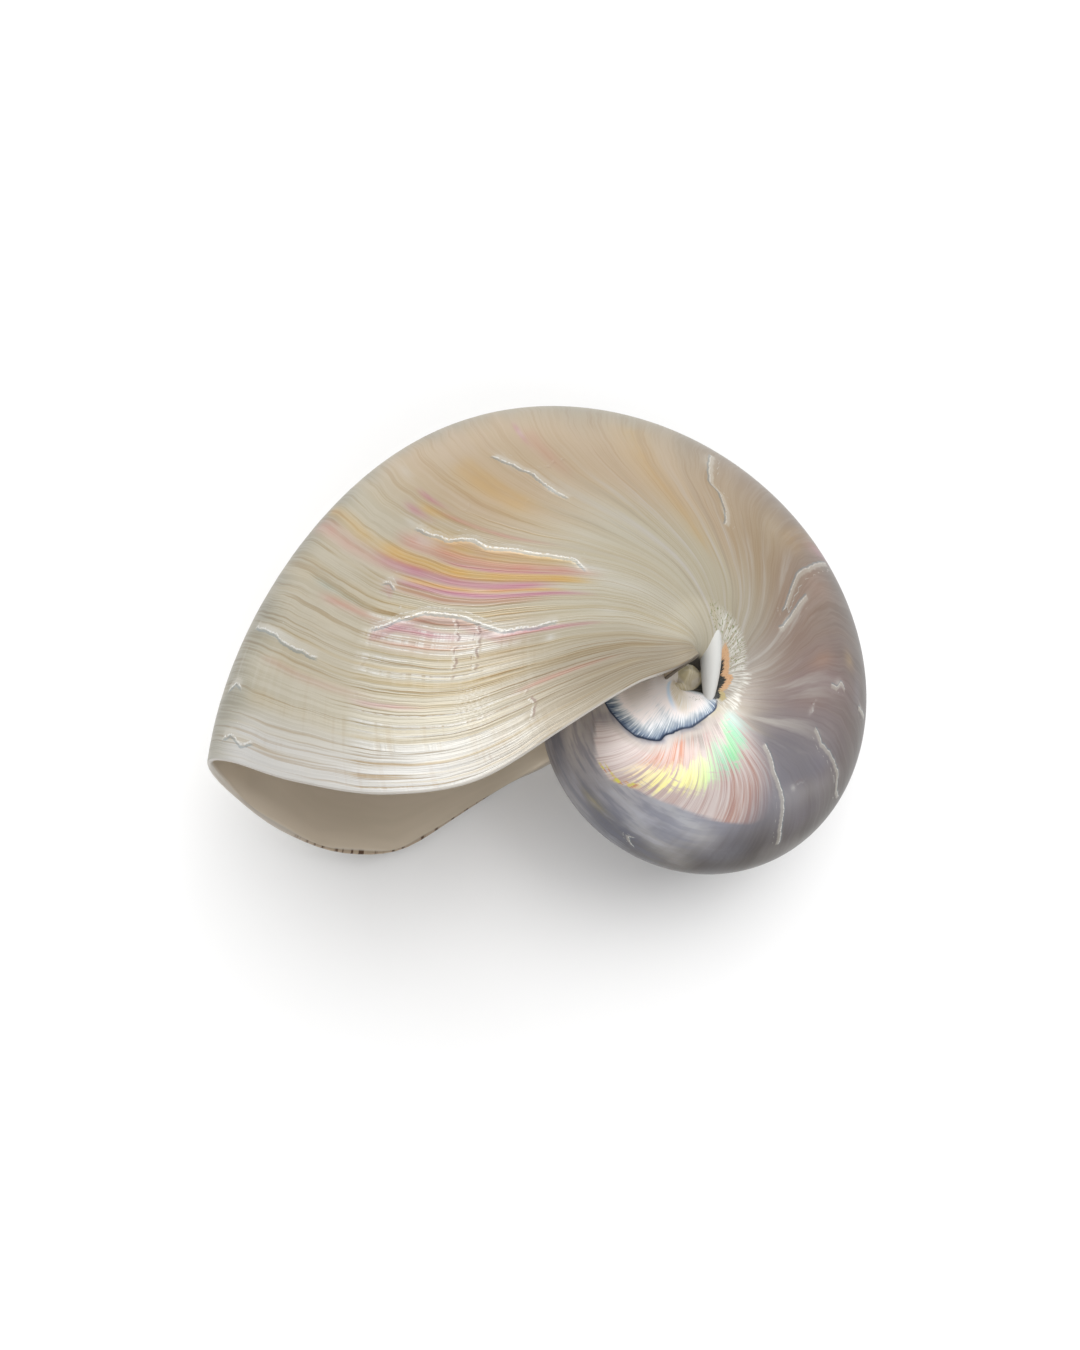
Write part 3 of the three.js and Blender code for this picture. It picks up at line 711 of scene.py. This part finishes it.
def make_navel_fold(side, material):
    """The folded end of the lip, a tongue across the well: a spindle along a line, its width a
    sine to a power below one and its upper side a low arch."""
    along = np.linspace(0, 1, FOLD_RINGS)[1:-1, None]
    around = np.linspace(0, 2 * np.pi, FOLD_SPOKES, endpoint=False)
    full = np.sin(np.pi * along ** .6) ** (.45 + .5 * along)
    span = np.linalg.norm(FOLD_TO - FOLD_FROM)
    forward = (FOLD_TO - FOLD_FROM) / span
    across = np.cross(forward, [0, 0, 1])
    across /= np.linalg.norm(across)
    rise = np.cross(across, forward)
    length = span + FOLD_WIDTH / 2
    middle = (FOLD_FROM + FOLD_TO) / 2 - [0, 0, FOLD_DEPTH / 3]
    bend = FOLD_BEND * np.sin(np.pi * along)
    tongue = (middle + forward * ((along - .5) * length)[..., None]
              + across * (FOLD_WIDTH / 2 * full * np.cos(around) - bend)[..., None]
              + rise * (FOLD_DEPTH / 2 * full * np.sin(around))[..., None])
    ends = [middle - forward * length / 2, middle + forward * length / 2]
    points = np.concatenate([tongue.reshape(-1, 3), ends])
    lengths = np.concatenate([np.repeat(along, FOLD_SPOKES), [0, 1]])
    faces = ball_faces(numbers(tongue))
    if side < 0:
        points = points * [1, 1, -1]
        faces = [f[:, ::-1] for f in faces]
    coil = np.column_stack([lengths, np.zeros(len(points)), np.full(len(points), FOLD_LAYER)])
    name = "near_navel_fold" if side > 0 else "far_navel_fold"
    return make_object(name, settled(points), faces, {"coil": coil}, material)


def linear(seen):
    """A colour as seen, 0 to 255, in the renderer's linear numbers."""
    seen = np.asarray(seen) / 255
    return np.where(seen <= .04045, seen / 12.92, ((seen + .055) / 1.055) ** 2.4)


def tint(red, green, blue):
    """A colour as seen, for a node's socket."""
    return (*linear((red, green, blue)), 1)


def add_node(tree, kind, inputs=(), **settings):
    """A new node with its settings and inputs."""
    node = tree.nodes.new(kind)
    for key, value in settings.items():
        setattr(node, key, value)
    for key, value in dict(inputs).items():
        feed(node.inputs[key], value)
    return node


def feed(socket, value):
    """Links a value to a node's input, or sets it there if it is a plain number or colour."""
    if isinstance(value, Value):
        socket.id_data.links.new(value.socket, socket)
    else:
        socket.default_value = value


class Value:
    """What a node gives out. Sums of values are written as formulas, and each adds its nodes."""

    def __init__(self, socket):
        self.socket = socket
        self.tree = socket.id_data

    def node(self, kind, *inputs, **settings):
        """The first output of a new node, whose first input is this value."""
        return Value(add_node(self.tree, kind, enumerate((self, *inputs)), **settings).outputs[0])

    def sum(self, kind, *others):
        """This value and others brought together by a kind of sum."""
        return self.node("ShaderNodeMath", *others, operation=kind)

    __add__ = partialmethod(sum, "ADD")
    __sub__ = partialmethod(sum, "SUBTRACT")
    __mul__ = partialmethod(sum, "MULTIPLY")
    __truediv__ = partialmethod(sum, "DIVIDE")
    __abs__ = partialmethod(sum, "ABSOLUTE")

    def __rsub__(self, other):
        return self * -1 + other

    def parts(self):
        """The three numbers of a vector."""
        return [Value(part) for part in add_node(self.tree, "ShaderNodeSeparateXYZ", {0: self}).outputs]

    def rise(self, low, high, start=0, end=1):
        """From start to end as the value goes from low to high, eased."""
        return self.node("ShaderNodeMapRange", low, high, start, end, interpolation_type="SMOOTHSTEP")

    def line(self, at, half_width):
        """1 where the value crosses a level, fading to 0 at the half width."""
        return abs(self - at).rise(half_width, 0)

    def within(self, low, high, soft):
        """1 between low and high, with soft ends."""
        half = soft / 2
        return self.rise(low - half, low + half) * self.rise(high + half, high - half)

    def noise(self, scale, other, other_scale, seed=0, detail=2):
        """Noise from 0 to 1 over this value and another, drawn out along the one of smaller scale."""
        where = (self * scale).node("ShaderNodeCombineXYZ", other * other_scale, seed)
        inputs = {"Vector": where, "Scale": 1, "Detail": detail, "Roughness": NOISE_ROUGHNESS}
        return Value(add_node(self.tree, "ShaderNodeTexNoise", inputs).outputs["Fac"])

    def shaken(self, noise, reach):
        """The value moved by a noise, at most half the reach either way."""
        return self + (noise - .5) * reach

    def ramp(self, *stops):
        """Colour along the value from 0 to 1, through stops of place and shade."""
        node = add_node(self.tree, "ShaderNodeValToRGB", {0: self})
        elements = node.color_ramp.elements
        while len(elements) < len(stops):
            elements.new(.5)
        for element, (place, shade) in zip(elements, stops):
            element.position = place
            element.color = for_socket(shade)
        return Value(node.outputs[0])


def for_socket(shade):
    """A shade as a node takes it: three numbers are a colour as seen, laid on at the paint's
    strength, and a tint or a value stays as it is."""
    if isinstance(shade, tuple) and len(shade) == 3:
        return tint(*np.array(shade) * PAINT_STRENGTH)
    return shade


def lay(colour, *layers):
    """The colour with layers over it in turn, each an amount, a shade and perhaps a way of mixing."""
    for amount, shade, *way in layers:
        inputs = {0: amount, 6: for_socket(colour), 7: for_socket(shade)}
        ways = {"data_type": "RGBA", "blend_type": way[0] if way else "MIX"}
        colour = Value(add_node(amount.tree, "ShaderNodeMix", inputs, **ways).outputs[2])
    return colour


def carried(tree, name):
    """The vector that each vertex carries under a name."""
    return Value(add_node(tree, "ShaderNodeAttribute", attribute_name=name).outputs["Vector"])


def pearl_material():
    """The nacre: the painted bands with fine streaks and a faint weave near the lip, with painted
    highlight on the lines' ridges and painted shade in their furrows; pale mended scars, partly
    painted glints and shadow, and cracks; the rainbow on the early whorl, partly a painted
    reflection; the blue-edged callus, its middle partly a painted highlight; and the navel, with
    painted shade in its well."""
    material = bpy.data.materials.new("nacre")
    material.use_nodes = True
    tree = material.node_tree
    whorls, side, layer = carried(tree, "coil").parts()
    scar, callus, glow = carried(tree, "edges").parts()
    crack, crumble, true_whorls = carried(tree, "cracks").parts()
    scarred, cracked, _ = carried(tree, "amounts").parts()
    share = abs(side)
    back = whorls * -WHORL
    true_back = true_whorls * -WHORL
    age = (back / AGE_START + 1).sum("MAXIMUM", .1).sum("LOGARITHM", np.e) * 100
    age = age.shaken(age.noise(.03, side, 7), 2.4)

    broad = age.noise(.08, side, 2, detail=3)
    strand = age.noise(.34, side, .9, 7, 3)
    hair = age.noise(1, side, 2, 3)
    spiral = age.noise(.04, side, 95, 5)
    ridge_and_highlight = hair.line(.5, .1)
    furrow_and_shade = hair.line(.64, .08)
    middle = share.rise(.32, .35) * share.rise(.62, .5)
    near_lip = back.rise(62, 8)
    lively = near_lip * (middle * .6 + .4) + back.rise(330, 120, .03, .18)
    lively = lively * (1 - back.within(30, 44, 5) * middle * .3)
    crest = strand.line(.55, .04) * middle * back.rise(32, 24) * spiral.rise(.36, .56, .35)
    weave = back.rise(30, 5) * broad.rise(.4, .6) * share.rise(.66, .58)

    # a warm darkening, laid in the furrows and the weave's grooves as painted shade
    deep = tint(224, 206, 182)
    colour = lay(
        carried(tree, "paint"),
        (strand.rise(.52, .68) * lively * .7, tint(80, 77, 70), "SCREEN"),
        (strand.rise(.48, .34) * lively * .9, tint(240, 226, 196), "MULTIPLY"),
        # pale ridges beside dark furrows: painted highlight and painted shade that make the fine growth
        # lines read as relief
        (ridge_and_highlight * lively, tint(112, 110, 104), "SCREEN"),
        (furrow_and_shade * lively, deep, "MULTIPLY"),
        (crest * .8, MEND_WHITE),
        (spiral.rise(.52, .62) * weave * .22, LIGHT_LINE),
        (spiral.rise(.46, .36) * weave * .2, deep, "MULTIPLY"))
    colour = spokes(colour, age, back, side, share)
    # the rainbow: a painted reflection of the light over the nacre's own tints
    colour = rainbow(colour, true_back, share, callus, glow)
    colour = mends(colour, age, true_back, side, scar, scarred.rise(.2, .6), middle * near_lip)
    colour = cracks(colour, age, side, crack, cracked.rise(.2, .7), crumble)
    colour = callus_colour(colour, true_back, share, callus)
    colour = navel_colour(colour, true_back, share)
    colour = layer_colours(colour, true_back, side, layer, broad)

    dull = (share.rise(.82, .86) * callus.rise(.2, 0)).sum("MAXIMUM", layer.rise(2.3, 2.6))
    relief = strand * .2 + (ridge_and_highlight - furrow_and_shade) * lively * .4 + crest * .7 + spiral * weave * .25
    height = relief * layer.rise(.95, .5)
    bump = add_node(tree, "ShaderNodeBump", {"Height": height, "Strength": .6, "Distance": BUMP_HEIGHT})
    finish = {
        "Base Color": colour,
        "Roughness": strand * .12 + .3 + dull * .35,
        "Metallic": dull * -.2 + .2,
        "Specular IOR Level": .28,
        "Coat Weight": .1,
        "Coat Roughness": .2,
        "Normal": Value(bump.outputs[0]),
    }
    for name, value in finish.items():
        feed(tree.nodes["Principled BSDF"].inputs[name], value)
    return material


def spokes(colour, age, back, side, share):
    """Pale soft streaks that run out from the navel along the growth lines."""
    streak = age.noise(.2, side, 1.5, 11, 4)
    reach = share.rise(.32, .72) * back.rise(26, 60)
    return lay(
        colour,
        (streak.rise(.5, .66) * reach * .7, (212, 206, 198)),
        (streak.rise(.45, .32) * reach * .35, (164, 150, 132)))


def mends(colour, age, back, side, scar, scarred, rosy):
    """Scars: a thin broken white line, the mend's own white and partly a painted glint on the raised
    edge, with a pale halo behind it; before it a blue line of painted shadow below the edge, partly
    the nacre's blue, and a pink tint where the flank is rosy."""
    grain = age.noise(1.5, side, 200, 13, 4)
    ragged = scar.shaken(grain, .9)
    faint = 1 - back.within(90, 250, 40) * .45
    return lay(
        colour,
        (ragged.within(.4, 2.6, 1.6) * scarred * rosy * .45, (196, 132, 150)),
        # blue line below the raised edge: painted shadow, partly the nacre's blue
        (ragged.within(.05, .6, .2) * scarred * .5, (132, 150, 158)),
        (ragged.within(-1.5, 0, 1) * scarred * .4, LIGHT_LINE),
        # the white line: the mend's white, partly a painted glint on the raised edge
        (ragged.within(-.34, .04, .16) * scarred * grain.rise(.38, .52) * faint, MEND_WHITE),
        (ragged.within(-1.35, -1.15, .2) * scarred * grain.rise(.44, .54) * rosy, MEND_WHITE))


def cracks(colour, age, side, crack, cracked, crumble):
    """Cracks: a fine broken white line with a shaded side; and the crumbled patch."""
    grain = age.noise(2.1, side, 240, 15, 4)
    torn = crack.shaken(grain, .5)
    return lay(
        colour,
        (torn.within(.05, .5, .3) * cracked * .6, (150, 122, 118)),
        (torn.within(-.45, 0, .3) * grain.rise(.42, .54) * cracked * .6, MEND_WHITE),
        (grain.rise(.5, .6) * crumble.rise(.25, .7) * .35, MEND_WHITE),
        (grain.rise(.42, .32) * crumble.rise(.35, .8) * .5, (150, 132, 116)))


def rainbow(colour, back, share, callus, glow):
    """The bright rainbow on the early whorl, a painted reflection of the light in the iridescent nacre
    over the nacre's own tints, below its sharp upper edge where the reflection ends: fingers of
    yellow, green and mint along a slanting line, rose on its keel side, orange by the callus, over a
    pinkish white ground with fine pale lines. Grey and pale streaks run along the coil above it."""
    finger = back.noise(.42, share, 2, 17, 4)
    fine = back.noise(.9, share, 1.6, 29)
    cross = back.noise(.06, share, 60, 19, 3)
    drawn = back.noise(.05, share, 24, 37, 3)
    along = (back - 257) / 70
    across = (share + along * .38 - .76).shaken(finger, .36).shaken(cross, .06)
    hues = (finger * .3 + along - .15).ramp(
        (0, (190, 232, 226)), (.14, (150, 240, 190)), (.28, (128, 246, 160)), (.42, (160, 236, 196)),
        (.54, tint(200, 244, 170)), (.66, tint(246, 248, 160)), (.88, tint(250, 242, 150)),
        (1, tint(250, 234, 180)))
    flecks = lay((236, 226, 110), (fine.rise(.44, .56), (226, 160, 110)))
    ground = lay(
        (206, 180, 174),
        (finger.rise(.34, .62), (230, 216, 212)),
        (across.within(-.46, -.09, .08) * back.within(262, 288, 12) * finger.rise(.6, .42) * .6,
         (196, 146, 130)),
        (across.rise(.07, .16) * share.rise(.58, .68) * .85, (166, 156, 148)),
        (across.within(.06, .2, .08) * back.within(306, 334, 14) * finger.rise(.58, .42, .3) * .85,
         (224, 146, 108)),
        (back.rise(322, 342) * fine.rise(.3, .54) * .95, (244, 232, 228)),
        (across.within(-.06, .06, .07) * finger.rise(.36, .48) * cross.rise(.26, .42)
         * back.rise(336, 326) * .8, hues),
        (cross.rise(.5, .56) * back.within(322, 338, 4) * glow.within(.2, 1.8, .6), flecks),
        (fine.line(.5, .05) * .5, (240, 230, 224)),
        (fine.line(.6, .05) * .35, (176, 140, 140)),
        (callus.within(-2, .5, 1.4) * .6, (208, 198, 190)))
    right = share * 47 + back
    reach = (glow.shaken(cross, 1.2).rise(-.3, .9) * right.rise(278, 298) * back.rise(366, 350)
             * callus.rise(0, -1.2) * share.rise(.84, .76))
    drawn_out = back.rise(270, 305)
    return lay(
        colour,
        (drawn.rise(.54, .38) * drawn_out * .5, (122, 124, 140)),
        (drawn.rise(.52, .68) * drawn_out * .4, (186, 186, 198)),
        (reach, ground))


def callus_colour(colour, back, share, callus):
    """The mouth's own nacre on the early whorl: a thin navy edge, steel blue with silver streaks
    that fray inwards, a pinkish white middle that is partly a painted highlight, mauve-tan painted
    shade towards the lip that hangs over it, and a light blue arc by the navel."""
    fray = back.noise(.9, share, 9, 23, 3)
    inwards = (callus * back.rise(345, 315, 1, 1.7)).shaken(fray, 5)
    arc = share - .8 - (back - 340) * .0018
    # the ramp's pinkish white middle: pale nacre, partly a painted highlight
    body = (inwards / 16).ramp(
        (0, tint(62, 78, 106)), (.05, tint(102, 118, 138)), (.13, tint(158, 168, 178)),
        (.18, tint(206, 210, 214)), (.27, tint(252, 244, 242)), (.5, tint(255, 250, 248)),
        (.86, tint(250, 240, 234)), (1, tint(238, 226, 214)))
    body = lay(
        body,
        (fray.rise(.54, .7) * .6, tint(232, 238, 242)),
        # mauve-tan towards the lip: painted shade under the lip's overhang
        (back.rise(350, 372) * inwards.rise(3, 8) * share.rise(.76, .7) * .6, tint(206, 194, 184)),
        (callus.rise(.5, .2), tint(44, 56, 78)),
        (arc.rise(-.01, .04) * back.rise(288, 330) * inwards.rise(1.5, 6) * fray.rise(.66, .4, .4),
         tint(222, 210, 186)),
        (arc.within(-.016, .01, .026) * back.within(332, 384, 20) * .7, tint(196, 224, 250)))
    return lay(colour, (callus.rise(-.1, .1), body))


def navel_colour(colour, back, share):
    """Chalky fibres round the navel with green specks, an orange patch, and painted shade: a near
    black crevice beside the fold and the dark open well.
    """
    fibre = (share * 8 + back * .3).noise(1.5, share, 18, 5, 3)
    speck = back.noise(.4, share, 130, 9, 3)
    inner = share - .015 + back.rise(195, 210, 0, .022) + back.rise(232, 246, 0, .025) + fibre * .03
    inner = inner.shaken(speck, .016)
    green = (share.within(.83, .895, .03) * back.within(106, 196, 20)
             + share.within(.87, .9, .01) * back.within(272, 300, 10))
    chalk = lay((188, 182, 168), (fibre.rise(.4, .62), (238, 236, 228)))
    orange = lay(
        (224, 180, 138),
        (back.rise(226, 240), (200, 184, 134)),
        (speck.rise(.46, .36, 0, .4), (176, 122, 84)))
    # the crevice beside the fold: painted shade, near black with lighter specks
    dark = lay(tint(34, 36, 36), (speck.rise(.4, .6), tint(62, 62, 58)))
    # the well's wall: painted shade, dark near the mouth, and pale further back
    depth = lay(tint(58, 56, 52), (back.rise(120, 140), tint(206, 196, 172)))
    return lay(
        colour,
        (inner.rise(.818, .842) * back.within(122, 258, 24) * fibre.rise(.3, .56) * .8, chalk),
        (speck.rise(.55, .62) * green * .8, (134, 144, 92)),
        (inner.rise(.884, .889) * back.within(146, 252, 8), orange),
        (inner.rise(.905, .91) * back.within(162, 258, 8), dark),
        (share.rise(.97, 1), depth))


def layer_colours(colour, back, side, layer, broad):
    """The inside's tan nacre, the lip's worn rim, and the septum, navel fill and navel fold."""
    flecks = side.noise(60, back, 2, 2, 4)
    chipped = side.within(-.72, -.28, .1)
    rim = lay(
        (214, 204, 190),
        (chipped, (196, 176, 152)),
        (flecks.rise(.5, .58) * chipped, (96, 70, 50)),
        (side.rise(-.1, .05), (222, 216, 206)),
        (side.rise(.76, .86), (128, 118, 104)))
    inside = lay(tint(200, 187, 166), (broad.rise(.3, .7), tint(212, 198, 178)))
    fill = lay(tint(226, 218, 200), (broad.rise(.42, .58), tint(204, 192, 156)))
    return lay(
        colour,
        (layer.within(.1, .9, .1), rim),
        (layer.rise(.85, .95), inside),
        *((layer.rise(number - .55, number - .45), shade) for number, shade in (
            (SEPTUM_LAYER, (206, 198, 186)), (NAVEL_LAYER, fill), (FOLD_LAYER, tint(206, 206, 203)))))


def make_floor():
    """A plain pale table top."""
    points = np.array([[-1, -1, 0], [1, -1, 0], [1, 1, 0], [-1, 1, 0]]) * FLOOR_HALF
    material = bpy.data.materials.new("pale_floor")
    material.use_nodes = True
    shader = material.node_tree.nodes["Principled BSDF"]
    shader.inputs["Base Color"].default_value = (FLOOR_GREY, FLOOR_GREY, FLOOR_GREY, 1)
    shader.inputs["Roughness"].default_value = FLOOR_ROUGHNESS
    floor = make_object("floor", points, [np.array([[0, 1, 2, 3]])], {}, material)


def make_camera():
    """The camera that the photograph's perspective fits."""
    data = bpy.data.cameras.new("camera")
    data.lens = CAMERA_LENS
    data.sensor_width = CAMERA_SENSOR
    data.clip_start = CAMERA_NEAREST
    camera = in_scene("camera", data)
    camera.location = CAMERA_PLACE
    camera.rotation_euler = CAMERA_TURN
    bpy.context.scene.camera = camera


def add_light(name, place, size, power):
    """A square soft light that points at the shell."""
    data = bpy.data.lights.new(name, "AREA")
    data.size = size
    data.energy = power
    light = in_scene(name, data)
    light.location = place
    light.rotation_euler = (Vector(LIT_PLACE) - Vector(place)).to_track_quat("-Z", "Y").to_euler()


def make_studio():
    """A broad soft light from above the crown, a smaller one from above the coil's back, a dim one
    towards the mouth, and a faint surround."""
    for light in LIGHTS:
        add_light(*light)
    world = bpy.data.worlds.new("surround")
    world.use_nodes = True
    background = world.node_tree.nodes["Background"]
    background.inputs["Color"].default_value = (1, 1, 1, 1)
    background.inputs["Strength"].default_value = SURROUND_STRENGTH
    bpy.context.scene.world = world
    bpy.context.scene.view_settings.view_transform = "Standard"


nacre = pearl_material()
for piece in (make_shell(nacre), make_septum(nacre), make_navel_plug(nacre),
              make_navel_fold(1, nacre), make_navel_fold(-1, nacre)):
    carry(piece)
make_floor()
make_camera()
make_studio()
